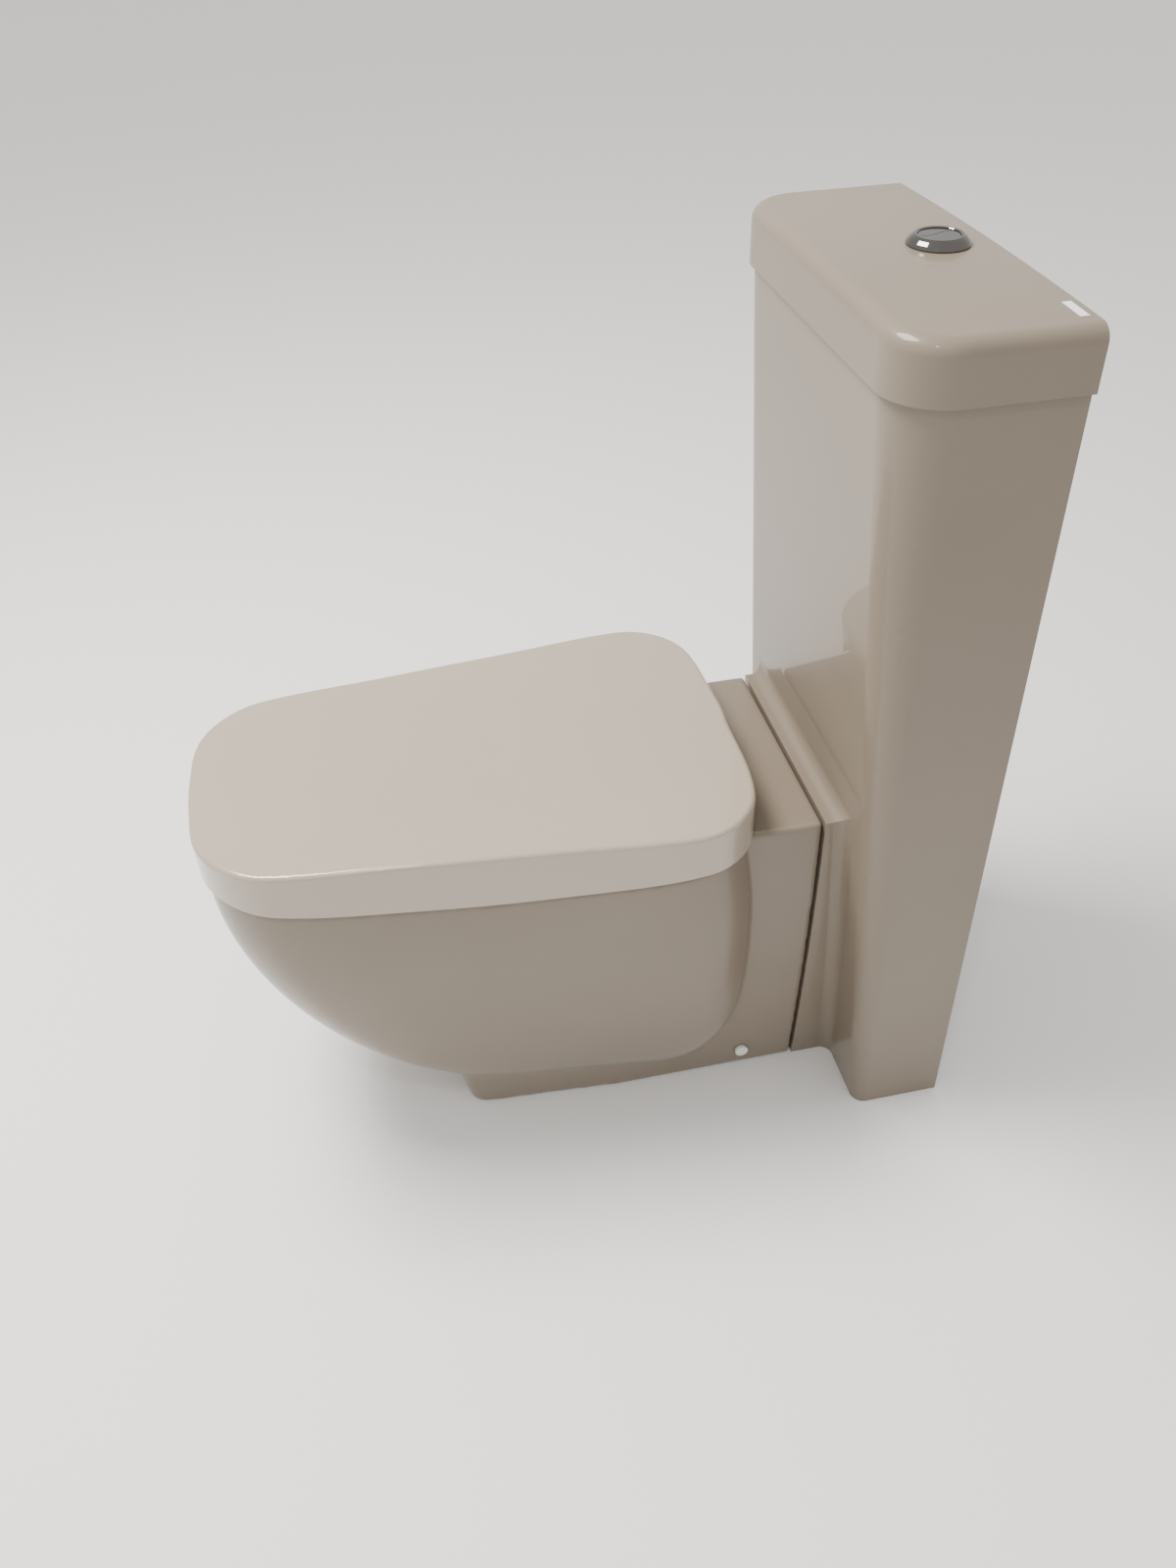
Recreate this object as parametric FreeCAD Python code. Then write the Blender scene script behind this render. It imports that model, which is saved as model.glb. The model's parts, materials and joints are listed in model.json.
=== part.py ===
import FreeCAD, Part
import math
import os

# Close coupled toilet with a floor-reaching cistern. Millimetres, +Z up.
# The front faces -Y and the wall is at +Y.
# The origin is on the floor at the centre of the object's box.

V = FreeCAD.Vector
X_AXIS = V(1, 0, 0)
Y_AXIS = V(0, 1, 0)
Z_AXIS = V(0, 0, 1)

# ---- driving dimensions: whole object ----
DEPTH = 724.0             # wall to the front of the seat lid
HALF_DEPTH = DEPTH / 2
WALL_Y = HALF_DEPTH       # plane of the wall
FRONT_Y = -HALF_DEPTH
CERAMIC = 10.0            # wall of the fired clay

# ---- cistern ----
BODY_TOP = 794.0
BODY_WIDTH_TOP = 374.0
BODY_WIDTH_FLOOR = 382.0
BODY_DEPTH_TOP = 146.0
BODY_DEPTH_FLOOR = 94.0
CORNER_TOP = 45.0         # radius of the front vertical corners, top and floor
CORNER_FLOOR = 14.0
REAR_CORNER = 4.0
TANK_FLOOR = 405.0        # inside of the tank's floor
TANK_FLOOR_THICK = 12.0
LID_GAP = 2.0
LID_WIDTH = 386.0
LID_DEPTH = 150.0
LID_HEIGHT = 52.0
LID_CROWN = 4.0
LID_EDGE = 13.0           # rounding of the lid's top edge
LID_WALL = 9.0            # thickness over the top
LID_SKIRT = 19.0          # thickness of the lid's sides
LID_Z0 = BODY_TOP + LID_GAP
LID_TOP = LID_Z0 + LID_HEIGHT
WALL_FIX_X = 85.0         # two screws hold the cistern to the wall
WALL_FIX_Z = 745.0
WALL_FIX_R = 4.5

# ---- pan ----
DECK_Z = 362.0
JOINT_Y = 223.0           # vertical plane between pan and cistern
JOINT_GAP = 2.0
DECK_HALF = 128.0         # half width of the pedestal at the deck and at the floor
FOOT_HALF = 108.0
BELLY_R = (DECK_Z**2 + (DECK_HALF - FOOT_HALF) ** 2) / (2 * (DECK_HALF - FOOT_HALF))
PEDESTAL_Y = 96.0         # front of the pedestal's full width
FOOT_FRONT_Y = -142.0     # front of the foot at the floor
FOOT_FRONT_HALF = 96.0    # half width of the foot at its front
FOOT_TAPER = 0.073        # growth of the foot's half width along Y
FOOT_LEAN = 0.2           # forward lean of the foot's front per unit of height
FOOT_TOP_Z = 112.0
RIM_REAR_Y = 90.0         # behind this the deck is level
RIM_MID_Y = -135.0        # lowest point of the saddle-shaped rim
RIM_MID_Z = 353.0
RIM_FRONT_Z = 370.0
RIM_INSET = 5.0           # rim stands back from the seat lid's outline
REAR_SWELL = 11.0         # the bowl's rear stands this far behind the rim
BOWL_TOP_Z = 345.0        # below this the bowl's sides start to fall in
BOWL_BOTTOM_Z = 22.0

# ---- seat ----
SEAT_REAR_Y = 161.0
SEAT_REAR_HALF = 181.0
SEAT_FRONT_HALF = 132.0
SEAT_REAR_ROUND = 70.0
SEAT_FRONT_ROUND = 62.0
SEAT_EDGE = 4.5           # rounding of the seat lid's top edge
SEAT_TOP_Z = 412.0
SEAT_WALL = 6.0
SEAT_LOW_GAP = 3.0        # seat lid's edge above the rim
HINGE_Y = 145.0
HINGE_Z = 391.0
HINGE_X = 77.5            # half of the 155 mm hole spacing
PIN_R = 5.0
RUNNING = 0.05            # radial clearance of a turning fit

# ---- services ----
OUTLET_Z = 180.0
OUTLET_R = 51.0
OUTLET_ROOT_Y = 226.0     # the spigot is a little thinner behind this
OUTLET_END_Y = 262.0
TRAP_R = 36.0
INLET_Z = 295.0
INLET_R = 28.0
VALVE_Y = 302.0
FILL_X = -130.0
FILL_SHANK_R = 10.48      # G 1/2
FILL_RELIEF_R = 10.2      # plain part of the shank inside the tank floor
FILL_THREAD_Z = 381.0
BUTTON_Y = 318.0
ROD_X = 10.0
SIDE_SCREW = (162.0, 27.0)    # y and z of the side fixing
SIDE_FACE_X = DECK_HALF - (DECK_HALF - FOOT_HALF) * (1 - SIDE_SCREW[1] / DECK_Z) ** 2 + 0.9
BRACKET_X = 94.0              # outer face of the floor brackets
BRACKET_HOLE_X = 66.0
COUPLING_X = 92.0
COUPLING_Z = 300.0
M8_HOLE_R = 4.5

# ---- flush button and linkage ----
SLEEVE_R = 19.5
BEZEL_R = 26.0
BEZEL_BORE = 17.0
BEZEL_TOP = LID_TOP + 8.0
BUTTON_R = 16.6
BUTTON_TOP = BEZEL_TOP - 1.0
BUTTON_LOW = LID_TOP - 8.0
LEDGE_Z = LID_TOP - 22.0      # floor inside the bezel that carries the springs
STEM_Z = LEDGE_Z + 8.5
ROD_END = 0.4                 # the rods stop this far above the lever pads
PIVOT_Y = 304.0
PIVOT_Z = 704.0
LEVER_X = 19.0
LEVER_PAD_Z = 709.0
CAGE_TOP = 652.0

# ---- seat ring ----
RING_INSET = 10.0
RING_LIFT = 7.0           # underside of the ring above the rim
RING_TALL = 24.0
RING_SKIN = 5.0
RING_REAR_Y = 128.0
BUFFER_GAP = 0.5
RING_BUFFERS = [(-136.0, 20.0), (136.0, 20.0), (-100.0, -270.0), (100.0, -270.0)]
LID_BUFFERS = [(-140.0, 60.0), (140.0, 60.0), (-96.0, -300.0), (96.0, -300.0)]


# ---------------------------------------------------------------- helpers
def box(x0, x1, y0, y1, z0, z1):
    return Part.makeBox(x1 - x0, y1 - y0, z1 - z0, V(x0, y0, z0))


def rod(x, y, z0, z1, r):
    return Part.makeCylinder(r, z1 - z0, V(x, y, z0))


def tube(x, y, z0, z1, outer, inner):
    return rod(x, y, z0, z1, outer).cut(rod(x, y, z0 - 1, z1 + 1, inner))


def rod_x(x0, x1, y, z, r):
    return Part.makeCylinder(r, x1 - x0, V(x0, y, z), X_AXIS)


def rod_y(x, y0, y1, z, r):
    return Part.makeCylinder(r, y1 - y0, V(x, y0, z), Y_AXIS)


def revolved(points, x, y):
    """Solid of revolution about a vertical line; points are (radius, z)."""
    face = Part.Face(Part.makePolygon([V(r, 0, z) for r, z in points + points[:1]]))
    solid = face.revolve(V(0, 0, 0), Z_AXIS, 360)
    solid.translate(V(x, y, 0))
    return solid


def mirrored(shape):
    return shape.mirror(V(0, 0, 0), X_AXIS)


def both_sides(shape):
    return Part.makeCompound([shape, mirrored(shape)])


def hexagon(x, y, z0, z1, across_flats):
    r = across_flats / math.sqrt(3)
    corners = [V(x + r * math.cos(k * math.pi / 3), y + r * math.sin(k * math.pi / 3), z0) for k in range(7)]
    return Part.Face(Part.makePolygon(corners)).extrude(V(0, 0, z1 - z0))


def smooth_wire(points):
    curve = Part.BSplineCurve()
    curve.interpolate(Points=points, PeriodicFlag=True)
    return Part.Wire([curve.toShape()])


def wing_nut_y(x, y0, z, r_hole):
    """Wing nut on an axis along Y, its face at y0, body towards +Y."""
    body = rod_y(x, y0, y0 + 8, z, 9)
    wings = box(x - 18, x + 18, y0 + 1, y0 + 7, z - 2, z + 2)
    return body.fuse(wings).cut(rod_y(x, y0 - 1, y0 + 9, z, r_hole))


def save(name, shape):
    shape.exportStep("parts/" + name + ".step")


# ---------------------------------------------------------------- rounded trapezoid outlines
def bezier(p, c, q, t):
    """Point on the round corner from p to q, whose sharp corner would be c."""
    reach = 0.56
    a = (p[0] + (c[0] - p[0]) * reach, p[1] + (c[1] - p[1]) * reach)
    b = (q[0] + (c[0] - q[0]) * reach, q[1] + (c[1] - q[1]) * reach)
    s = 1 - t
    return tuple(s**3 * p[k] + 3 * s * s * t * a[k] + 3 * s * t * t * b[k] + t**3 * q[k] for k in (0, 1))


def half_outline(rear_y, front_y, rear_half, front_half, rear_round, front_round,
                 rear_bow=14.0, front_bow=18.0):
    """Points of the +X half of a rounded trapezoid, from the middle of its rear to the middle of its front."""
    rear_corner = (rear_half, rear_y - rear_bow)
    front_corner = (front_half, front_y + front_bow)
    side = (front_corner[0] - rear_corner[0], front_corner[1] - rear_corner[1])
    length = math.hypot(*side)
    along = (side[0] / length, side[1] / length)

    def rear(x):
        return (x, rear_y - rear_bow * (x / rear_half) ** 2)

    def front(x):
        return (x, front_y + front_bow * (x / front_half) ** 2)

    def flank(s):
        return (rear_corner[0] + along[0] * s, rear_corner[1] + along[1] * s)

    steps = (0.2, 0.4, 0.6, 0.8)
    rear_end = rear(rear_half - rear_round)
    front_end = front(front_half - front_round)
    flank_start = flank(rear_round)
    flank_end = flank(length - front_round)
    points = [rear(0), rear(0.5 * rear_end[0]), rear_end]
    points += [bezier(rear_end, rear_corner, flank_start, t) for t in steps]
    points += [flank(rear_round + (length - rear_round - front_round) * k / 4) for k in range(5)]
    points += [bezier(flank_end, front_corner, front_end, t) for t in steps]
    points += [front_end, front(0.5 * front_end[0]), front(0)]
    return points


def closed(half):
    return half + [(-x, y) for x, y in half[-2:0:-1]]


def seat_outline(inset):
    """Plan of the seat lid, taken in by inset."""
    return half_outline(SEAT_REAR_Y - inset, FRONT_Y + inset, SEAT_REAR_HALF - inset, SEAT_FRONT_HALF - inset,
                        SEAT_REAR_ROUND - inset * 0.5, SEAT_FRONT_ROUND - inset * 0.5)


def prism(half, z0, z1):
    wire = smooth_wire([V(x, y, z0) for x, y in closed(half)])
    return Part.Face(wire).extrude(V(0, 0, z1 - z0))


def lofted(sections):
    """Smooth solid through (z, half outline) sections."""
    wires = [smooth_wire([V(x, y, z) for x, y in closed(half)]) for z, half in sections]
    return Part.makeLoft(wires, True, False)


def fall(t, power):
    """Share of an inward pull on an elliptic profile, 0 at t = 0 and 1, with a level end, at t = 1."""
    return 1 - math.sqrt(max(0.0, 1 - t**power))


def above_rim(offset, top):
    """Everything between the saddle-shaped rim surface, raised by offset, and a level top."""
    start = V(-400, JOINT_Y + 100, DECK_Z + offset)
    turn = V(-400, RIM_REAR_Y, DECK_Z + offset)
    low = V(-400, RIM_MID_Y, RIM_MID_Z + offset)
    end = V(-400, FRONT_Y, RIM_FRONT_Z + offset)
    saddle = Part.Arc(turn, low, end).toShape()
    roof = [end, V(-400, FRONT_Y - 60, RIM_FRONT_Z + offset + 5), V(-400, FRONT_Y - 60, top),
            V(-400, JOINT_Y + 100, top), start, turn]
    outline = Part.Wire([saddle] + Part.makePolygon(roof).Edges)
    return Part.Face(outline).extrude(V(800, 0, 0))


def rim_z(y):
    """Height of the saddle-shaped rim at y."""
    a = (RIM_REAR_Y, DECK_Z)
    b = (RIM_MID_Y, RIM_MID_Z)
    c = (FRONT_Y, RIM_FRONT_Z)
    parabola = 0.0
    for p, q, r in ((a, b, c), (b, a, c), (c, a, b)):
        parabola += p[1] * (y - q[0]) * (y - r[0]) / ((p[0] - q[0]) * (p[0] - r[0]))
    return parabola


# ---------------------------------------------------------------- pan
BODY_FALL = {"front": (310.0, 1.75), "side": (75.0, 2.0), "rear": (110.0, 8.0)}    # pull and profile power
BOWL_IN = {"front": (270.0, 1.6), "side": (86.0, 1.8), "rear": (18.0, 4.0)}
LEVELS = (0.0, 0.15, 0.3, 0.45, 0.6, 0.75, 0.87, 0.95, 1.0)
BOWL_MOUTH_Z = 385.0
SUMP_Z = 62.0
TAPER = (SEAT_REAR_HALF - SEAT_FRONT_HALF) / (SEAT_REAR_Y - FRONT_Y)     # growth of the half width along Y


def bowl_body(skin):
    """The pan's outer body under the rim, taken in by skin all round."""
    inset = RIM_INSET + skin
    sections = [(RIM_FRONT_Z + 8 - skin, seat_outline(inset))]
    bottom = BOWL_BOTTOM_Z + skin
    for t in LEVELS:
        z = BOWL_TOP_Z + (bottom - BOWL_TOP_Z) * t
        front, side, rear = [pull * fall(t, power) for pull, power in BODY_FALL.values()]
        swell = REAR_SWELL * (1 - (1 - t) ** 6)
        sections.append((z, half_outline(SEAT_REAR_Y - inset - rear + swell, FRONT_Y + inset + front,
                                         SEAT_REAR_HALF - TAPER * rear - inset - side,
                                         SEAT_FRONT_HALF + TAPER * front - inset - side,
                                         66.0 - 0.45 * side, 60.0 - 0.35 * side, 14.0, 18.0 - 0.08 * side)))
    return lofted(sections)


def bowl_hollow(skin):
    """The inside of the bowl, grown by skin all round."""
    sections = []
    for t in LEVELS:
        z = BOWL_MOUTH_Z + (SUMP_Z - skin - BOWL_MOUTH_Z) * t
        front, side, rear = [pull * fall(t, power) for pull, power in BOWL_IN.values()]
        sections.append((z, half_outline(78.0 + skin - rear, -312.0 - skin + front, 126.0 + skin - side,
                                         max(38.0, 92.0 - 0.7 * side) + skin, 84.0 - 0.62 * side,
                                         70.0 - 0.5 * side, 10.0 - 0.1 * side, 18.0 - 0.12 * side)))
    return lofted(sections)


def trap(r):
    """The passage from the sump over the weir to the outlet, as a round tube of radius r."""
    centres = [V(0, 0, 98), V(0, 62, 98), V(0, 92, 210), V(0, 138, 214), V(0, 184, OUTLET_Z)]
    solid = rod_y(0, 184, JOINT_Y, OUTLET_Z, r)
    for a, b in zip(centres, centres[1:]):
        run = b.sub(a)
        solid = solid.fuse(Part.makeCylinder(r, run.Length, a, run))
    for c in centres[1:]:
        solid = solid.fuse(Part.makeSphere(r, c))
    return solid


def side_half(z):
    """Half width of the gently bellied pedestal at height z: a very large circular arc, upright at the deck."""
    return DECK_HALF - BELLY_R + math.sqrt(BELLY_R**2 - (DECK_Z - z) ** 2)


def flanked(skin, y0, y1, z0, z1):
    """Block between the pedestal's two bellied flanks, taken in by skin."""
    mid = (z0 + z1) / 2
    low, half, high = [side_half(z) - skin for z in (z0, mid, z1)]
    right = Part.Arc(V(low, y0, z0), V(half, y0, mid), V(high, y0, z1)).toShape()
    left = Part.Arc(V(-high, y0, z1), V(-half, y0, mid), V(-low, y0, z0)).toShape()
    top = Part.makeLine(V(high, y0, z1), V(-high, y0, z1))
    bottom = Part.makeLine(V(-low, y0, z0), V(low, y0, z0))
    return Part.Face(Part.Wire([right, top, left, bottom])).extrude(V(0, y1 - y0, 0))


def pedestal(skin, z0, z1):
    """Block behind the bowl, from the floor to the deck."""
    return flanked(skin, PEDESTAL_Y + skin, JOINT_Y - JOINT_GAP / 2 - skin, z0, z1)


def foot(skin, z0, z1):
    """Foot under the bowl, drawn in towards a front that leans forward."""
    rear = PEDESTAL_Y + 40

    def plan(z):
        front = FOOT_FRONT_Y - FOOT_LEAN * z + skin
        half = FOOT_FRONT_HALF + side_half(z) - FOOT_HALF - skin
        return half_outline(rear, front, half + FOOT_TAPER * (rear - front), half, 20.0, 15.0, 0.0, 3.0)

    tapered = lofted([(z0, plan(z0)), (z1, plan(z1))])
    return tapered.common(flanked(skin, FOOT_FRONT_Y - 60, rear + 1, z0, z1))


def make_pan():
    outside = bowl_body(0).fuse(pedestal(0, 0, DECK_Z + 12)).fuse(foot(0, 0, FOOT_TOP_Z))
    shell_room = bowl_body(CERAMIC).common(box(-200, 200, -400, 400, BOWL_BOTTOM_Z + CERAMIC, DECK_Z - 18))
    void = shell_room.fuse(pedestal(CERAMIC, -1, DECK_Z - 12)).fuse(foot(CERAMIC, -1, FOOT_TOP_Z))
    inlet_wall = rod_y(0, 40, JOINT_Y - 1, INLET_Z, INLET_R + 8)
    void = void.cut(bowl_hollow(CERAMIC)).cut(trap(TRAP_R + CERAMIC)).cut(inlet_wall)
    pan = outside.cut(void).cut(bowl_hollow(0))
    spigot = rod_y(0, JOINT_Y - 6, OUTLET_ROOT_Y, OUTLET_Z, OUTLET_R - 1)
    spigot = spigot.fuse(rod_y(0, OUTLET_ROOT_Y, OUTLET_END_Y, OUTLET_Z, OUTLET_R))
    pan = pan.fuse(spigot).cut(trap(TRAP_R)).cut(rod_y(0, 180, OUTLET_END_Y + 1, OUTLET_Z, TRAP_R))
    pan = pan.cut(rod_y(0, 60, JOINT_Y + 1, INLET_Z, INLET_R))
    pan = pan.cut(above_rim(0, 460))
    for x in (-HINGE_X, HINGE_X):
        pan = pan.cut(rod(x, HINGE_Y, DECK_Z - 30, DECK_Z + 1, 7))
    for x in (-COUPLING_X, COUPLING_X):
        pan = pan.cut(rod_y(x, JOINT_Y - 14, JOINT_Y + 1, COUPLING_Z, M8_HOLE_R))
    return pan.cut(both_sides(rod_x(BRACKET_X, FOOT_HALF + 10, SIDE_SCREW[0], SIDE_SCREW[1], 3.5)))


# ---------------------------------------------------------------- cistern
def body_ring(z, skin, open_rear=0.0):
    """Plan of the cistern at height z, taken in by skin; open_rear pushes the rear edge past the wall plane."""
    share = z / BODY_TOP
    half = (BODY_WIDTH_FLOOR + (BODY_WIDTH_TOP - BODY_WIDTH_FLOOR) * share) / 2 - skin
    front = WALL_Y - BODY_DEPTH_FLOOR - (BODY_DEPTH_TOP - BODY_DEPTH_FLOOR) * share + skin
    r = max(CORNER_FLOOR + (CORNER_TOP - CORNER_FLOOR) * share - skin, 5.0)
    return plan_ring(half, front, WALL_Y - skin + open_rear, r, REAR_CORNER, z)


def plan_ring(half, front, rear, r, rear_r, z):
    """Closed wire of a rectangle with two corner radii, starting at the rear."""
    corners = [(half, rear, rear_r, 0), (half, front, r, -90),
               (-half, front, r, -180), (-half, rear, rear_r, -270)]
    arcs = []
    for x, y, radius, start in corners:
        cx = x - math.copysign(radius, x)
        cy = y - radius if y == rear else y + radius
        turn = [math.radians(start + 90 - 45 * k) for k in range(3)]
        arcs.append([V(cx + radius * math.cos(a), cy + radius * math.sin(a), z) for a in turn])
    edges = []
    for k in range(4):
        edges.append(Part.Arc(*arcs[k]).toShape())
        edges.append(Part.LineSegment(arcs[k][2], arcs[(k + 1) % 4][0]).toShape())
    return Part.Wire(edges)


def body_loft(z0, z1, skin, open_rear=0.0):
    return Part.makeLoft([body_ring(z0, skin, open_rear), body_ring(z1, skin, open_rear)], True, True)


def coupling_block(skin):
    """Block that stands out of the cistern's front and meets the pan."""
    return flanked(skin, JOINT_Y + JOINT_GAP / 2 + skin, WALL_Y - BODY_DEPTH_FLOOR + 12,
                   0 if skin == 0 else -1, DECK_Z - skin)


def make_cistern_body():
    body = body_loft(0, BODY_TOP, 0, 40.0).fuse(coupling_block(0))
    creases = []
    for edge in body.Edges:
        span = edge.BoundBox
        between_faces = span.YMin > JOINT_Y + 6 and span.YMax < WALL_Y - 80
        if between_faces and max(abs(span.XMin), abs(span.XMax)) < DECK_HALF + 2 and span.ZMax > 20:
            creases.append(edge)
    body = body.makeFillet(13.0, creases).cut(box(-250, 250, WALL_Y, WALL_Y + 60, -5, BODY_TOP + 5))
    tank = body_loft(TANK_FLOOR, BODY_TOP + 1, CERAMIC - 1)
    shroud = body_loft(-1, TANK_FLOOR - TANK_FLOOR_THICK, CERAMIC - 1, 30.0)
    body = body.cut(tank).cut(shroud).cut(coupling_block(CERAMIC - 1))
    body = body.cut(rod(0, VALVE_Y, TANK_FLOOR - 20, TANK_FLOOR + 5, 32.5))
    body = body.cut(rod(FILL_X, VALVE_Y, TANK_FLOOR - 20, TANK_FLOOR + 5, 12.0))
    body = body.cut(rod_y(0, JOINT_Y - 5, JOINT_Y + 20, OUTLET_Z, OUTLET_R + 8))
    body = body.cut(rod_y(0, JOINT_Y - 5, JOINT_Y + 20, INLET_Z, 33.0))
    for x in (-COUPLING_X, COUPLING_X):
        body = body.cut(rod_y(x, JOINT_Y - 5, JOINT_Y + 20, COUPLING_Z, M8_HOLE_R))
    for x in (-WALL_FIX_X, WALL_FIX_X):
        body = body.cut(rod_y(x, WALL_Y - 20, WALL_Y + 5, WALL_FIX_Z, WALL_FIX_R))
    return body


def lid_prism(skin, z0, z1, past_wall=0.0):
    ring = plan_ring(LID_WIDTH / 2 - skin, WALL_Y - LID_DEPTH + skin, WALL_Y - skin + past_wall,
                     CORNER_TOP + 4 - skin, REAR_CORNER + past_wall / 4, z0)
    return Part.Face(ring).extrude(V(0, 0, z1 - z0))


def make_cistern_lid():
    left = V(-LID_WIDTH / 2 - 20, 0, LID_TOP - LID_CROWN)
    right = V(LID_WIDTH / 2 + 20, 0, LID_TOP - LID_CROWN)
    crown = Part.Arc(left, V(0, 0, LID_TOP), right).toShape()
    under = Part.makePolygon([right, V(right.x, 0, 0), V(left.x, 0, 0), left])
    crowned = Part.Face(Part.Wire([crown] + under.Edges)).extrude(V(0, 500, 0))
    lid = lid_prism(0, LID_Z0, LID_TOP + 5, 40).common(crowned)
    edges = [e for e in lid.Edges if e.BoundBox.ZMin > LID_TOP - LID_CROWN - 2 and e.BoundBox.YMin < WALL_Y]
    lid = lid.makeFillet(LID_EDGE, edges).cut(box(-250, 250, WALL_Y, WALL_Y + 60, LID_Z0 - 5, LID_TOP + 5))
    hollow = lid_prism(LID_SKIRT, LID_Z0 - 1, LID_TOP - LID_CROWN - LID_WALL)
    lip = lid_prism(LID_SKIRT - 4, LID_Z0 - 9, LID_Z0 + 1).cut(lid_prism(LID_SKIRT, LID_Z0 - 10, LID_Z0 + 2))
    lid = lid.cut(hollow).fuse(lip)
    return lid.cut(rod(0, BUTTON_Y, LID_TOP - 30, LID_TOP + 5, SLEEVE_R + 1))


def make_lid_pads():
    pads = []
    for x in (-120.0, 120.0):
        for y in (WALL_Y - 5.0, WALL_Y - BODY_DEPTH_TOP + 5.0):
            pads.append(rod(x, y, BODY_TOP, LID_Z0, 3.0))
    return Part.makeCompound(pads)


def make_lid_label():
    plate = box(144, 172, WALL_Y - 13, WALL_Y - 6, LID_TOP - 8, LID_TOP + 5)
    skin = make_cistern_lid()
    lifted = skin.copy()
    lifted.translate(V(0, 0, 0.4))
    return plate.common(lifted).cut(skin)


# ---------------------------------------------------------------- flush buttons
def make_button_bezel():
    profile = [(BEZEL_R, LID_TOP + 0.2), (BEZEL_R, LID_TOP + 1.4), (BEZEL_R - 1.4, LID_TOP + 3.8),
               (BEZEL_R - 3.8, LID_TOP + 6.4), (BEZEL_R - 6.4, BEZEL_TOP), (BEZEL_BORE + 0.6, BEZEL_TOP),
               (BEZEL_BORE, BEZEL_TOP - 0.8), (BEZEL_BORE, LEDGE_Z), (BEZEL_BORE - 2.5, LEDGE_Z),
               (BEZEL_BORE - 2.5, LEDGE_Z - 3), (SLEEVE_R, LEDGE_Z - 3), (SLEEVE_R, LID_TOP + 0.2)]
    bezel = revolved(profile, 0, BUTTON_Y)
    floor = rod(0, BUTTON_Y, LEDGE_Z - 3, LEDGE_Z, BEZEL_BORE - 2)
    for x in (-ROD_X, ROD_X):
        floor = floor.cut(rod(x, BUTTON_Y, LEDGE_Z - 4, LEDGE_Z + 1, 2.4))
    return bezel.fuse(floor)


def make_bezel_locknut():
    top = LID_TOP - LID_CROWN - LID_WALL
    nut = tube(0, BUTTON_Y, top - 6, top, 24, SLEEVE_R + 0.1)
    grips = [rod(24 * math.cos(a), BUTTON_Y + 24 * math.sin(a), top - 7, top + 1, 1.6)
             for a in (k * math.pi / 4 for k in range(8))]
    return nut.cut(Part.makeCompound(grips))


def split_face(side, z0, z1):
    """Half of the button's disc on one side of its S-shaped parting line; side is 1 or -1."""
    middle = -3.0 + 0.35 * side
    swing = 3.0
    line = Part.BSplineCurve()
    line.interpolate(Points=[V(middle, -20, z0), V(middle + swing, -8, z0), V(middle, 0, z0),
                             V(middle - swing, 8, z0), V(middle, 20, z0)])
    far = 28.0 * side
    rest = Part.makePolygon([V(middle, 20, z0), V(far, 20, z0), V(far, -20, z0), V(middle, -20, z0)])
    part = Part.Face(Part.Wire([line.toShape()] + rest.Edges)).extrude(V(0, 0, z1 - z0))
    part.translate(V(0, BUTTON_Y, 0))
    return part


def make_button(side):
    disc = rod(0, BUTTON_Y, BUTTON_LOW, BUTTON_TOP, BUTTON_R)
    cup = disc.common(split_face(side, BUTTON_LOW - 1, BUTTON_TOP + 1))
    stem = rod(side * ROD_X, BUTTON_Y, STEM_Z, BUTTON_LOW, 2.6)
    return cup.fuse(stem)


def make_button_spring(side):
    """Five-turn compression spring between the bezel's ledge and the button."""
    wire_r = 0.7
    coil_r = 4.6
    clearance = 0.2
    height = BUTTON_LOW - LEDGE_Z - 2 * (wire_r + clearance)
    helix = Part.makeHelix(height / 5, height, coil_r)
    start = Part.Wire(Part.makeCircle(wire_r, V(coil_r, 0, 0), Y_AXIS))
    spring = Part.Wire(helix).makePipeShell([start], True, True)
    spring.translate(V(side * ROD_X, BUTTON_Y, LEDGE_Z + wire_r + clearance))
    return spring


def make_flush_rod(side):
    x = side * ROD_X
    shaft = rod(x, BUTTON_Y, LEVER_PAD_Z + 3 + ROD_END, STEM_Z, 1.8)
    foot = rod(x, BUTTON_Y, LEVER_PAD_Z + ROD_END, LEVER_PAD_Z + 3 + ROD_END, 2.6)
    return shaft.fuse(foot)


# ---------------------------------------------------------------- flush valve
def make_flush_valve_base():
    profile = [(26, 340), (31.5, 340), (31.5, 408), (42, 408), (42, 413), (40, 413), (40, 418), (37, 418), (37, 413),
               (29, 413), (27.5, 414.5), (26, 413)]
    base = revolved(profile, 0, VALVE_Y)
    for k in range(4):
        a = math.radians(45 + 90 * k)
        base = base.fuse(rod(36.5 * math.cos(a), VALVE_Y + 36.5 * math.sin(a), 412, 470, 3))
    return base


def make_flush_valve_cage():
    skirt = tube(0, VALVE_Y, 470, CAGE_TOP - 6, 39.5, 36.5)
    head = tube(0, VALVE_Y, CAGE_TOP - 6, CAGE_TOP, 39.5, 13.6)
    cage = skirt.fuse(head)
    windows = box(-60, 60, VALVE_Y - 13, VALVE_Y + 13, 490, 620)
    windows = windows.fuse(box(-13, 13, VALVE_Y - 60, VALVE_Y + 60, 490, 620))
    cage = cage.cut(windows)
    for x in (-LEVER_X - 7.5, LEVER_X + 4.5):
        cage = cage.fuse(box(x, x + 3, PIVOT_Y - 6, PIVOT_Y + 6, CAGE_TOP - 1, PIVOT_Z + 6))
    for x in (-LEVER_X - 8, LEVER_X + 4):
        cage = cage.cut(rod_x(x, x + 4, PIVOT_Y, PIVOT_Z, 1.55))
    return cage


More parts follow.
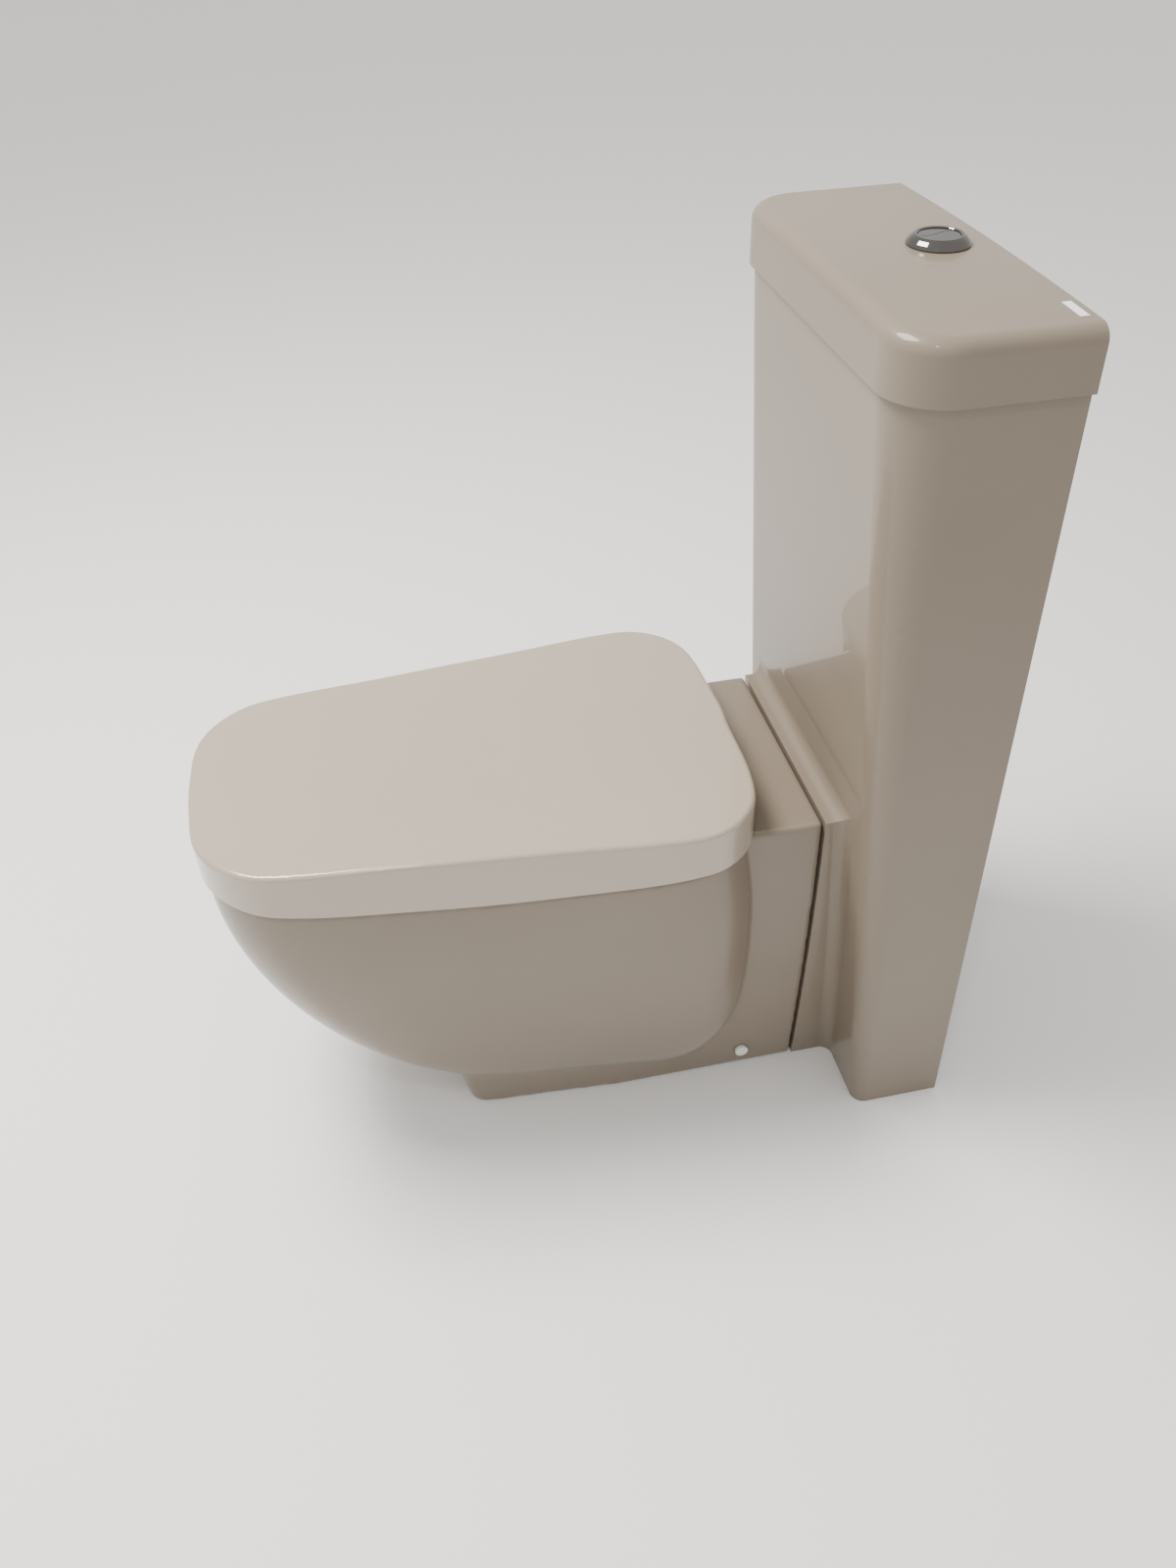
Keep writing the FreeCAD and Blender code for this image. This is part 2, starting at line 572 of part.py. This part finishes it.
def make_flush_valve_piston():
    overflow = revolved([(11, 417), (30, 417), (30, 420), (13, 422), (13, 705), (11, 705)], 0, VALVE_Y)
    collar = tube(0, VALVE_Y, PIVOT_Z - 2, PIVOT_Z + 1, 14.5, 12.5)
    arm = box(9, LEVER_X + 3, 272, 280, PIVOT_Z - 2, PIVOT_Z + 1)
    web = box(9, 13, 279, VALVE_Y - 9.5, PIVOT_Z - 2, PIVOT_Z + 1)
    return overflow.fuse(collar).fuse(arm.fuse(web).cut(rod(0, VALVE_Y, PIVOT_Z - 5, PIVOT_Z + 5, 12)))


def make_flush_lever(side):
    """Rocker: a pad under the push rod behind the pivot, and a lifting arm in front of it."""
    x0 = side * LEVER_X - 2
    front_end = 274.0 if side > 0 else 286.0
    hub = rod_x(x0, x0 + 4, PIVOT_Y, PIVOT_Z, 4)
    arm = box(x0, x0 + 4, front_end, PIVOT_Y, PIVOT_Z - 6, PIVOT_Z - 3)
    neck = box(x0, x0 + 4, PIVOT_Y - 3, PIVOT_Y + 3, PIVOT_Z - 6, LEVER_PAD_Z)
    reach = box(x0, x0 + 4, PIVOT_Y, BUTTON_Y + 5, LEVER_PAD_Z - 4, LEVER_PAD_Z)
    inner, outer = sorted((side * 5.0, side * (LEVER_X + 2)))
    pad = box(inner, outer, BUTTON_Y - 1, BUTTON_Y + 5, LEVER_PAD_Z - 4, LEVER_PAD_Z)
    lever = hub.fuse(arm).fuse(neck).fuse(reach).fuse(pad)
    return lever.cut(rod_x(x0 - 1, x0 + 5, PIVOT_Y, PIVOT_Z, 1.5 + RUNNING))


def make_lever_pins():
    return Part.makeCompound([rod_x(-LEVER_X - 8.5, -LEVER_X + 3, PIVOT_Y, PIVOT_Z, 1.5),
                              rod_x(LEVER_X - 3, LEVER_X + 8.5, PIVOT_Y, PIVOT_Z, 1.5)])


def make_flush_bend():
    bend_r = 34.0
    corner_z = INLET_Z + bend_r
    mid = math.sqrt(0.5) * bend_r
    arc = Part.Arc(V(0, VALVE_Y, corner_z), V(0, VALVE_Y - bend_r + mid, corner_z - mid),
                   V(0, VALVE_Y - bend_r, INLET_Z))
    path = Part.Wire([Part.LineSegment(V(0, VALVE_Y, 341), V(0, VALVE_Y, corner_z)).toShape(), arc.toShape(),
                      Part.LineSegment(V(0, VALVE_Y - bend_r, INLET_Z), V(0, 203, INLET_Z)).toShape()])

    def sweep(r):
        return path.makePipeShell([Part.Wire(Part.makeCircle(r, V(0, VALVE_Y, 341), Z_AXIS))], True, True)

    pipe = sweep(24.5).cut(sweep(22))
    socket = tube(0, VALVE_Y, 337, 340, 36, 22).fuse(tube(0, VALVE_Y, 340, 366, 36, 31.6))
    return pipe.cut(rod(0, VALVE_Y, 338, 367, 36)).fuse(socket)


# ---------------------------------------------------------------- fill valve
def make_fill_valve_body():
    shank = rod(FILL_X, VALVE_Y, 352, FILL_THREAD_Z, FILL_SHANK_R)
    shank = shank.fuse(rod(FILL_X, VALVE_Y, FILL_THREAD_Z, 410, FILL_RELIEF_R))
    flange = rod(FILL_X, VALVE_Y, 408, 413, 19)
    column = rod(FILL_X, VALVE_Y, 413, 690, 13).fuse(rod(FILL_X, VALVE_Y, 554, 559.5, 17))
    return shank.fuse(flange).fuse(column).cut(rod(FILL_X, VALVE_Y, 351, 690.5, 5.5))


def make_fill_valve_head():
    head = revolved([(0, 690), (22, 690), (22, 712), (19, 718), (0, 718)], FILL_X, VALVE_Y)
    return head.fuse(box(FILL_X + 15, FILL_X + 36, VALVE_Y - 6, VALVE_Y + 6, 700, 710))


def make_fill_valve_float():
    cup = revolved([(13.5, 560), (32, 560), (32, 632), (30, 634), (13.5, 634), (13.5, 631), (29, 631), (29, 563),
                    (13.5, 563)], FILL_X, VALVE_Y)
    return cup.fuse(rod(FILL_X - 27, VALVE_Y, 630, 676, 1.8))


# ---------------------------------------------------------------- seat
def make_seat_lid():
    shell = prism(seat_outline(0), 330, SEAT_TOP_Z).common(above_rim(SEAT_LOW_GAP, 450))
    rim_edges = [e for e in shell.Edges if e.BoundBox.ZMin > SEAT_TOP_Z - 0.5]
    shell = shell.makeFillet(SEAT_EDGE, rim_edges)
    shell = shell.cut(prism(seat_outline(SEAT_WALL), 320, SEAT_TOP_Z - SEAT_WALL))
    shell = shell.cut(box(-124, 124, 120, 170, 340, HINGE_Z - 13))
    shell = shell.cut(both_sides(box(43, 93, 128, 170, 340, SEAT_TOP_Z - SEAT_WALL)))
    shell = shell.cut(both_sides(box(92, 114, 130, 170, 340, HINGE_Z)))
    ear = rod_x(94, 112, HINGE_Y, HINGE_Z, 11).fuse(box(94, 112, 136, 154, HINGE_Z, SEAT_TOP_Z - SEAT_WALL + 1))
    shell = shell.fuse(ear).fuse(mirrored(ear))
    return shell.cut(rod_x(-114, 114, HINGE_Y, HINGE_Z, 8.0))


def ring_outline(inset):
    return half_outline(RING_REAR_Y - inset, FRONT_Y + RING_INSET + inset, SEAT_REAR_HALF - RING_INSET - inset,
                        SEAT_FRONT_HALF - RING_INSET - inset, 86.0 - inset * 0.5, 68.0 - inset * 0.5, 6.0, 17.0)


def seat_hole(grow):
    return half_outline(62.0 + grow, -288.0 - grow, 116.0 + grow, 82.0 + grow, 84.0, 66.0, 14.0, 22.0)


def between(low, high):
    return above_rim(low, 450).cut(above_rim(high, 451))


def make_seat_ring():
    ring = prism(ring_outline(0), 330, 440).cut(prism(seat_hole(0), 320, 450))
    ring = ring.common(between(RING_LIFT, RING_LIFT + RING_TALL))
    tops = []
    for edge in ring.Edges:
        mid = edge.CenterOfMass
        if edge.Length > 400 and mid.z > rim_z(mid.y) + RING_LIFT + RING_TALL / 2:
            tops.append(edge)
    ring = ring.makeFillet(6.0, tops)
    channel = prism(ring_outline(RING_SKIN), 320, 450).cut(prism(seat_hole(RING_SKIN), 310, 460))
    ring = ring.cut(channel.common(between(RING_LIFT - 5, RING_LIFT + RING_TALL - RING_SKIN)))
    ear = rod_x(46, 63, HINGE_Y, HINGE_Z, 10).fuse(box(46, 63, 112, HINGE_Y, HINGE_Z - 9, HINGE_Z - 2))
    ear = ear.cut(rod_x(45, 64, HINGE_Y, HINGE_Z, PIN_R + RUNNING))
    return ring.fuse(ear).fuse(mirrored(ear))


def make_ring_buffers():
    pads = Part.makeCompound([rod(x, y, 330, 400, 9) for x, y in RING_BUFFERS])
    return pads.common(between(BUFFER_GAP, RING_LIFT + RING_TALL - RING_SKIN))


def make_lid_buffers():
    pads = Part.makeCompound([rod(x, y, 370, SEAT_TOP_Z - SEAT_WALL, 7) for x, y in LID_BUFFERS])
    return pads.common(above_rim(RING_LIFT + RING_TALL + BUFFER_GAP, 450))


def make_hinge_posts():
    post = rod(HINGE_X, HINGE_Y, DECK_Z + 3, HINGE_Z, 11)
    post = post.fuse(rod_x(HINGE_X - 11, HINGE_X + 11, HINGE_Y, HINGE_Z, 11))
    post = post.cut(rod(HINGE_X, HINGE_Y, DECK_Z + 2, DECK_Z + 10, 7))
    return both_sides(post.cut(rod_x(HINGE_X - 12, HINGE_X + 12, HINGE_Y, HINGE_Z, PIN_R + 0.02)))


def make_hinge_base_plates():
    return both_sides(tube(HINGE_X, HINGE_Y, DECK_Z, DECK_Z + 3, 20, 3.2))


def make_hinge_pins():
    return both_sides(rod_x(44, 113, HINGE_Y, HINGE_Z, PIN_R))


def make_hinge_dampers():
    sleeve = rod_x(95, 111, HINGE_Y, HINGE_Z, 7.95).cut(rod_x(94, 112, HINGE_Y, HINGE_Z, PIN_R + RUNNING))
    return both_sides(sleeve)


def make_seat_fixing_bolts():
    bolt = rod(HINGE_X, HINGE_Y, DECK_Z - 40, DECK_Z + 3, 3)
    bolt = bolt.fuse(hexagon(HINGE_X, HINGE_Y, DECK_Z + 3, DECK_Z + 7, 10))
    return both_sides(bolt)


def make_expansion_plugs():
    plug = tube(HINGE_X, HINGE_Y, DECK_Z - 34, DECK_Z - 0.5, 6.9, 3.1)
    return both_sides(plug.fuse(tube(HINGE_X, HINGE_Y, DECK_Z - 40, DECK_Z - 34, 8, 3.1)))


# ---------------------------------------------------------------- fixings
def make_coupling_bolts():
    head = rod_y(COUPLING_X, JOINT_Y - 20, JOINT_Y - 14.5, COUPLING_Z, 9)
    return both_sides(head.fuse(rod_y(COUPLING_X, JOINT_Y - 15, JOINT_Y + 34, COUPLING_Z, 4)))


def washer_y(y0, y1, r):
    return rod_y(COUPLING_X, y0, y1, COUPLING_Z, r).cut(rod_y(COUPLING_X, y0 - 1, y1 + 1, COUPLING_Z, 4.1))


def make_coupling_washers():
    inside_pan = washer_y(JOINT_Y - 14.5, JOINT_Y - 11.5, 11)
    inside_block = washer_y(JOINT_Y + 10.5, JOINT_Y + 13.5, 11)
    return Part.makeCompound([inside_pan, inside_block, mirrored(inside_pan), mirrored(inside_block)])


def make_coupling_nuts():
    return both_sides(wing_nut_y(COUPLING_X, JOINT_Y + 13.5, COUPLING_Z, 4.05))


def make_floor_brackets():
    y, z = SIDE_SCREW
    upright = box(BRACKET_X - 6, BRACKET_X, y - 16, y + 16, 0.5, z + 14)
    base = box(BRACKET_X - 42, BRACKET_X, y - 16, y + 16, 0.5, 6.5)
    bracket = upright.fuse(base).cut(rod_x(BRACKET_X - 8, BRACKET_X + 2, y, z, 2.6))
    return both_sides(bracket.cut(rod(BRACKET_HOLE_X, y, -1, 8, 3.5)))


def make_side_screws():
    y, z = SIDE_SCREW
    shank = rod_x(BRACKET_X - 10, SIDE_FACE_X + 0.5, y, z, 2.5)
    return both_sides(shank.fuse(rod_x(SIDE_FACE_X + 0.5, SIDE_FACE_X + 2.5, y, z, 4.5)))


def make_screw_caps():
    y, z = SIDE_SCREW
    cap = rod_x(SIDE_FACE_X + 0.1, SIDE_FACE_X + 3.6, y, z, 7)
    cap = cap.cut(rod_x(SIDE_FACE_X - 1, SIDE_FACE_X + 2.8, y, z, 5))
    return both_sides(cap)


NODES = {
    "pan": make_pan,
    "cistern_body": make_cistern_body,
    "cistern_lid": make_cistern_lid,
    "cistern_lid_pads": make_lid_pads,
    "lid_label": make_lid_label,
    "seat_ring": make_seat_ring,
    "seat_ring_buffers": make_ring_buffers,
    "seat_lid": make_seat_lid,
    "seat_lid_buffers": make_lid_buffers,
    "hinge_posts": make_hinge_posts,
    "hinge_base_plates": make_hinge_base_plates,
    "hinge_pins": make_hinge_pins,
    "hinge_dampers": make_hinge_dampers,
    "seat_fixing_bolts": make_seat_fixing_bolts,
    "seat_expansion_plugs": make_expansion_plugs,
    "button_bezel": make_button_bezel,
    "bezel_locknut": make_bezel_locknut,
    "full_flush_button": lambda: make_button(1),
    "half_flush_button": lambda: make_button(-1),
    "full_button_spring": lambda: make_button_spring(1),
    "half_button_spring": lambda: make_button_spring(-1),
    "full_flush_rod": lambda: make_flush_rod(1),
    "half_flush_rod": lambda: make_flush_rod(-1),
    "flush_valve_base": make_flush_valve_base,
    "flush_valve_gasket": lambda: tube(0, VALVE_Y, TANK_FLOOR, 408, 41, 32),
    "flush_valve_backnut": lambda: tube(0, VALVE_Y, 379, 393, 42, 31.6),
    "flush_valve_cage": make_flush_valve_cage,
    "flush_valve_piston": make_flush_valve_piston,
    "flush_valve_seal": lambda: tube(0, VALVE_Y, 414.9, 417, 30, 22),
    "full_flush_lever": lambda: make_flush_lever(1),
    "half_flush_lever": lambda: make_flush_lever(-1),
    "lever_pins": make_lever_pins,
    "flush_bend": make_flush_bend,
    "flush_cone_seal": lambda: rod_y(0, 200, JOINT_Y + 1, INLET_Z, INLET_R).cut(rod_y(0, 199, 230, INLET_Z, 24.6)),
    "fill_valve_body": make_fill_valve_body,
    "fill_valve_head": make_fill_valve_head,
    "fill_valve_float": make_fill_valve_float,
    "fill_valve_washer": lambda: tube(FILL_X, VALVE_Y, TANK_FLOOR, 408, 18, FILL_SHANK_R + 0.1),
    "fill_valve_backnut": lambda: hexagon(FILL_X, VALVE_Y, 383, 393, 32).cut(rod(FILL_X, VALVE_Y, 380, 395, 10.6)),
    "coupling_bolts": make_coupling_bolts,
    "coupling_washers": make_coupling_washers,
    "coupling_nuts": make_coupling_nuts,
    "floor_brackets": make_floor_brackets,
    "side_screws": make_side_screws,
    "side_screw_caps": make_screw_caps,
}

os.makedirs("parts", exist_ok=True)
for name, make in NODES.items():
    shape = make()
    save(name, shape)
    print(name, shape.ShapeType, len(shape.Solids), shape.isValid(), round(shape.Volume / 1000), "cm3")
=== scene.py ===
import json
import math

import bmesh
import bpy
from mathutils import Matrix, Vector


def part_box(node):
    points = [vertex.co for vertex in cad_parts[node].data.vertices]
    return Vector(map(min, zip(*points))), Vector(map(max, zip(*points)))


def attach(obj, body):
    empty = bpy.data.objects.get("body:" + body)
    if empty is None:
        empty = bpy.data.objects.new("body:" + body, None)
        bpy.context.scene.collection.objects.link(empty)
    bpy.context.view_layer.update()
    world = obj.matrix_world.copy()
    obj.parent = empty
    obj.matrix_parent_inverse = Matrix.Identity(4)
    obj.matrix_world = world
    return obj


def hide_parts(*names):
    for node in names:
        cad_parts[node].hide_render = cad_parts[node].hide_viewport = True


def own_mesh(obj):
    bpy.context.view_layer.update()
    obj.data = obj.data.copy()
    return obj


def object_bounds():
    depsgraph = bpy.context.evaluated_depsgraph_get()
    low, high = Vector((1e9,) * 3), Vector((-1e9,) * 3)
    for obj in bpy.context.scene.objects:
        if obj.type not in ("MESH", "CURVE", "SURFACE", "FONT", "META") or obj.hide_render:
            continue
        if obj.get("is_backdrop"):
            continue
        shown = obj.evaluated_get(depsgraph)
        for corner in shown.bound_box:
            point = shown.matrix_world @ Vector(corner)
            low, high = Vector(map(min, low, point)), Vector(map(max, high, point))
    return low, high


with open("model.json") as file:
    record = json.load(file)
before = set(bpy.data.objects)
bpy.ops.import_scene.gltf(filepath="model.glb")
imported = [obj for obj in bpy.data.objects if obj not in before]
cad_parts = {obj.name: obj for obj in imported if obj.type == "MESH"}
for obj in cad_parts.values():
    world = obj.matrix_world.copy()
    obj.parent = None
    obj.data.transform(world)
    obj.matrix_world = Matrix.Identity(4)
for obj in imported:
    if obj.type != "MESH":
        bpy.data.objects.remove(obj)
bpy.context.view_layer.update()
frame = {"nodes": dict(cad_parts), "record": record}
nodes = frame["nodes"]


# ---------------------------------------------------------------- materials
def new_material(name, **values):
    mat = bpy.data.materials.new(name)
    mat.use_nodes = True
    shader = mat.node_tree.nodes["Principled BSDF"]
    for key, value in values.items():
        shader.inputs[key.replace("_", " ")].default_value = value
    return mat, mat.node_tree, shader


def mottle(tree, shader, dark, light, scale, detail=3.0):
    """Faint cloudy variation of the base colour between two tones."""
    coords = tree.nodes.new("ShaderNodeTexCoord")
    noise = tree.nodes.new("ShaderNodeTexNoise")
    noise.inputs["Scale"].default_value = scale
    noise.inputs["Detail"].default_value = detail
    ramp = tree.nodes.new("ShaderNodeValToRGB")
    ramp.color_ramp.elements[0].position = 0.35
    ramp.color_ramp.elements[0].color = (*dark, 1)
    ramp.color_ramp.elements[1].position = 0.65
    ramp.color_ramp.elements[1].color = (*light, 1)
    tree.links.new(coords.outputs["Object"], noise.inputs["Vector"])
    tree.links.new(noise.outputs["Fac"], ramp.inputs["Fac"])
    tree.links.new(ramp.outputs["Color"], shader.inputs["Base Color"])
    return coords


def waviness(tree, shader, coords, scale, distance, socket="Normal"):
    """Long, very shallow unevenness of the surface."""
    noise = tree.nodes.new("ShaderNodeTexNoise")
    noise.inputs["Scale"].default_value = scale
    noise.inputs["Detail"].default_value = 1.0
    bump = tree.nodes.new("ShaderNodeBump")
    bump.inputs["Strength"].default_value = 1.0
    bump.inputs["Distance"].default_value = distance
    tree.links.new(coords.outputs["Object"], noise.inputs["Vector"])
    tree.links.new(noise.outputs["Fac"], bump.inputs["Height"])
    tree.links.new(bump.outputs["Normal"], shader.inputs[socket])


def glazed_clay():
    mat, tree, shader = new_material("glazed_clay", Roughness=0.4, IOR=1.3, Coat_Weight=0.45,
                                     Coat_Roughness=0.03, Coat_IOR=1.4)
    coords = mottle(tree, shader, (0.198, 0.162, 0.123), (0.212, 0.175, 0.134), 4.0)
    waviness(tree, shader, coords, 9.0, 0.00012, "Coat Normal")
    return mat


def seat_plastic():
    mat, tree, shader = new_material("seat_plastic", Roughness=0.18, IOR=1.5, Coat_Weight=0.6,
                                     Coat_Roughness=0.03)
    coords = mottle(tree, shader, (0.38, 0.32, 0.255), (0.40, 0.338, 0.27), 3.0)
    waviness(tree, shader, coords, 6.0, 0.0001, "Coat Normal")
    return mat


def chrome():
    mat, tree, shader = new_material("chrome", Metallic=1.0, Roughness=0.06)
    mottle(tree, shader, (0.14, 0.13, 0.12), (0.17, 0.16, 0.15), 20.0)
    return mat


def steel():
    mat, tree, shader = new_material("steel", Metallic=1.0, Roughness=0.32)
    mottle(tree, shader, (0.46, 0.46, 0.47), (0.56, 0.56, 0.57), 60.0)
    return mat


def plastic(name, tone, roughness):
    mat, tree, shader = new_material(name, Roughness=roughness, IOR=1.48)
    mottle(tree, shader, [c * 0.94 for c in tone], tone, 12.0)
    return mat


def rubber():
    mat, tree, shader = new_material("rubber", Roughness=0.75, IOR=1.5)
    coords = mottle(tree, shader, (0.018, 0.018, 0.018), (0.03, 0.03, 0.03), 40.0)
    waviness(tree, shader, coords, 220.0, 0.0001)
    return mat


MATERIALS = {
    "glazed_clay": glazed_clay(),
    "seat_plastic": seat_plastic(),
    "chrome": chrome(),
    "steel": steel(),
    "white_plastic": plastic("white_plastic", (0.62, 0.61, 0.59), 0.42),
    "grey_plastic": plastic("grey_plastic", (0.2, 0.21, 0.22), 0.45),
    "blue_plastic": plastic("blue_plastic", (0.08, 0.19, 0.36), 0.4),
    "cap_plastic": plastic("cap_plastic", (0.78, 0.76, 0.73), 0.2),
    "rubber_clear": plastic("rubber_clear", (0.45, 0.44, 0.41), 0.5),
    "label": plastic("label", (0.85, 0.84, 0.82), 0.35),
    "rubber": rubber(),
}

SHARP = math.radians(28)  # edges that turn by more than this stay crisp
FINE_CELL = 0.0021        # mesh size of the softened casting
SOFT_PASSES = 22


def soften(node, cell):
    """Round over the creases of a casting, as a thick glaze does."""
    remesh = node.modifiers.new("even", "REMESH")
    remesh.mode = "VOXEL"
    remesh.voxel_size = cell
    remesh.use_smooth_shade = True
    smooth = node.modifiers.new("soft", "SMOOTH")
    smooth.factor = 0.5
    smooth.iterations = SOFT_PASSES


slots = {entry["node"]: entry["material_slot"] for entry in frame["record"]["subparts"]}
for name, node in nodes.items():
    node.data.materials.clear()
    node.data.materials.append(MATERIALS[slots[name]])
    for face in node.data.polygons:
        face.use_smooth = True
    node.data.set_sharp_from_angle(angle=SHARP)
    if name == "pan":
        soften(node, FINE_CELL)
        continue
    weighted = node.modifiers.new("weighted", "WEIGHTED_NORMAL")
    weighted.keep_sharp = True
    weighted.weight = 100


# ---------------------------------------------------------------- button springs, built as fixed coils
WIRE_R = 0.0007
TURNS = 5
STEPS = 28                # rings of the wire in each turn
SIDES = 10                # corners of each ring


def coil(name, low, high):
    """Helical wire inside the box from low to high."""
    middle = (low + high) / 2
    coil_r = (high.x - low.x) / 2 - WIRE_R
    rise = high.z - low.z - 2 * WIRE_R
    form = bmesh.new()
    rings = []
    for k in range(TURNS * STEPS + 1):
        turn = 2 * math.pi * k / STEPS
        out = Vector((math.cos(turn), math.sin(turn), 0))
        centre = Vector((middle.x, middle.y, low.z + WIRE_R + rise * k / (TURNS * STEPS))) + out * coil_r
        ring = []
        for side in range(SIDES):
            angle = 2 * math.pi * side / SIDES
            around = out * math.cos(angle) + Vector((0, 0, math.sin(angle)))
            ring.append(form.verts.new(centre + around * WIRE_R))
        rings.append(ring)
    for a, b in zip(rings, rings[1:]):
        for side in range(SIDES):
            after = (side + 1) % SIDES
            form.faces.new((a[side], a[after], b[after], b[side]))
    form.faces.new(rings[0])
    form.faces.new(rings[-1])
    bmesh.ops.recalc_face_normals(form, faces=form.faces)
    for face in form.faces:
        face.smooth = True
    mesh = bpy.data.meshes.new(name)
    form.to_mesh(mesh)
    form.free()
    spring = bpy.data.objects.new(name, mesh)
    bpy.context.collection.objects.link(spring)
    return spring


for side in ("full", "half"):
    low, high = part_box(side + "_button_spring")
    spring = coil(side + "_coil", low, high)
    spring.data.materials.append(MATERIALS["steel"])
    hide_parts(side + "_button_spring")
    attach(spring, "cistern_lid")
    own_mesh(spring)


# ---------------------------------------------------------------- camera, floor and light
def aim(azimuth, elevation, roll, place, lens):
    a, e, r = [math.radians(v) for v in (azimuth, elevation, roll)]
    back = Vector((math.sin(a) * math.cos(e), -math.cos(a) * math.cos(e), math.sin(e)))
    right = (-back).cross(Vector((0, 0, 1))).normalized()
    up = right.cross(-back)
    right, up = right * math.cos(r) + up * math.sin(r), up * math.cos(r) - right * math.sin(r)
    data = bpy.data.cameras.new("camera")
    data.lens = lens
    data.sensor_width = 36
    camera = bpy.data.objects.new("camera", data)
    camera.matrix_world = Matrix.Translation(place) @ Matrix((right, up, back)).transposed().to_4x4()
    bpy.context.collection.objects.link(camera)
    bpy.context.scene.camera = camera


def panel(name, place, target, size, power, tone):
    data = bpy.data.lights.new(name, "AREA")
    data.shape = "RECTANGLE"
    data.size, data.size_y = size
    data.energy = power
    data.color = tone
    lamp = bpy.data.objects.new(name, data)
    lamp.location = place
    lamp.rotation_euler = (Vector(target) - Vector(place)).to_track_quat("-Z", "Y").to_euler()
    bpy.context.collection.objects.link(lamp)


aim(azimuth=79.2, elevation=39.4, roll=-1.9, place=Vector((0.9872, -0.1687, 1.1745)), lens=29.6)

bpy.ops.mesh.primitive_plane_add(size=30, location=(0, 0, -0.0005))  # half a millimetre under the foot
floor = bpy.context.object
floor.name = "floor"
floor_mat, _, _ = new_material("floor", Roughness=0.6, Base_Color=(0.93, 0.925, 0.915, 1))
floor.data.materials.append(floor_mat)
floor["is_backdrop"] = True

world = bpy.data.worlds.new("world")
world.use_nodes = True
background = world.node_tree.nodes["Background"]
background.inputs["Color"].default_value = (1.0, 0.985, 0.965, 1)
background.inputs["Strength"].default_value = 1.0
bpy.context.scene.world = world

panel("key", (-0.4, -0.9, 2.5), (0, -0.2, 0.3), (1.0, 0.9), 105, (1.0, 0.965, 0.92))
panel("spark", (1.3, -0.5, 2.6), (0, 0, 0.4), (0.12, 0.12), 6, (1.0, 0.97, 0.93))

low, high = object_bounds()
